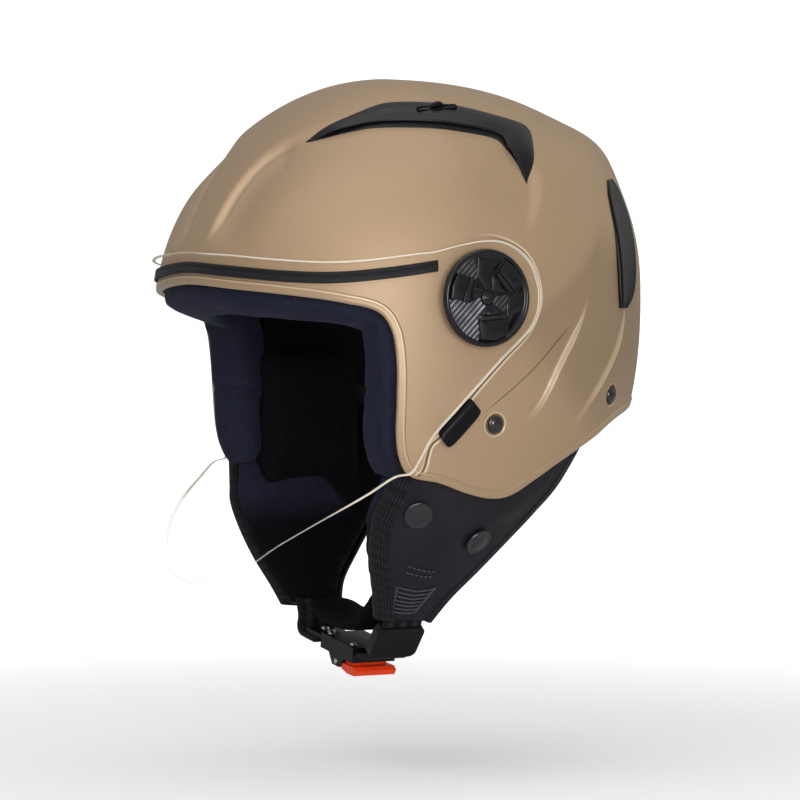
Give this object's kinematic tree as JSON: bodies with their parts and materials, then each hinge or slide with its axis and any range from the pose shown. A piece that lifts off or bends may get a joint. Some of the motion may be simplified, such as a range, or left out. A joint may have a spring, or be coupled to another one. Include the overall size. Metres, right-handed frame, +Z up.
{
  "type": "motorcycle helmet",
  "caption": "Open-face helmet with a clear visor on two side pivots, padded lining, vents, ear flaps and a chin strap with a quick buckle.",
  "frame": {"origin": "in the head cavity, on the middle plane and on the visor pivot axis", "axes": "+Z up, -Y the way the face looks, +X the wearer's left"},
  "size_m": [0.2592, 0.275, 0.3307],
  "materials": {
    "shell_paint": "satin lacquer",
    "impact_foam": "expanded foam",
    "lining_fabric": "brushed knit",
    "leatherette": "fine grain",
    "webbing": "woven",
    "rubber_seal": "matt",
    "vent_plastic": "satin",
    "clear_sheet": "clear hard coat",
    "pivot_plastic": "gloss",
    "steel": "zinc plated",
    "rivet_chrome": "polished",
    "button_plastic": "satin",
    "buckle_plastic": "satin",
    "lever_plastic": "satin"
  },
  "bodies": {
    "helmet": {"outer_shell": "shell_paint", "edge_beading": "shell_paint", "impact_liner": "impact_foam", "comfort_liner": "lining_fabric", "crown_pad": "lining_fabric", "brow_pad": "lining_fabric", "cheek_pad_left": "lining_fabric", "cheek_pad_right": "lining_fabric", "face_roll": "lining_fabric", "neck_roll": "leatherette", "ear_flap_left": "leatherette", "ear_flap_right": "leatherette", "flap_piping_left": "leatherette", "flap_piping_right": "leatherette", "flap_band_left": "webbing", "flap_band_right": "webbing", "chin_strap_left": "webbing", "chin_strap_right": "webbing", "chin_pad": "webbing", "brow_seal": "rubber_seal", "top_vent_left": "vent_plastic", "top_vent_right": "vent_plastic", "rear_vent_left": "vent_plastic", "rear_vent_right": "vent_plastic", "strap_slider": "vent_plastic", "pivot_plate_left": "pivot_plastic", "pivot_plate_right": "pivot_plastic", "pivot_cap_left": "pivot_plastic", "pivot_cap_right": "pivot_plastic", "pivot_nut_left": "steel", "pivot_nut_right": "steel", "pivot_screw_left": "steel", "pivot_screw_right": "steel", "pivot_washer_left": "steel", "pivot_washer_right": "steel", "strap_anchors": "steel", "lever_pin": "steel", "lever_spring": "steel", "strap_rivets": "rivet_chrome", "frame_rivets": "rivet_chrome", "snap_buttons_left": "button_plastic", "snap_buttons_right": "button_plastic", "buckle_frame": "buckle_plastic"},
    "visor_group": {"visor": "clear_sheet", "visor_hub_left": "pivot_plastic", "visor_hub_right": "pivot_plastic", "visor_tab_left": "vent_plastic", "visor_tab_right": "vent_plastic"},
    "left_knob": {"vent_knob_left": "vent_plastic"},
    "right_knob": {"vent_knob_right": "vent_plastic"},
    "tongue_group": {"buckle_tongue": "buckle_plastic", "tongue_rivets": "rivet_chrome"},
    "lever_group": {"buckle_lever": "lever_plastic"}
  },
  "joints": [
    {"name": "visor_hinge", "type": "hinge", "parent": "helmet", "child": "visor_group", "pos_m": [0, 0, 0], "axis": [-1, 0, 0], "range_deg": [0, 48]},
    {"name": "left_knob_slide", "type": "slide", "parent": "helmet", "child": "left_knob", "axis": [0, 0.9956, 0.0939], "range_m": [-0.0078, 0.0118]},
    {"name": "right_knob_slide", "type": "slide", "parent": "helmet", "child": "right_knob", "axis": [0, 0.9956, 0.0939], "range_m": [-0.0078, 0.0118]},
    {"name": "tongue_slide", "type": "slide", "parent": "helmet", "child": "tongue_group", "axis": [0.9877, 0, -0.1564], "range_m": [-0.012, 0.004], "deforming": ["chin_strap_right"]},
    {"name": "lever_hinge", "type": "hinge", "parent": "helmet", "child": "lever_group", "pos_m": [-0.00016, -0.01, -0.202], "axis": [0, 1, 0], "range_deg": [0, 35], "stiffness_Nm_per_rad": 0.03, "springref_deg": -20.05}
  ]
}
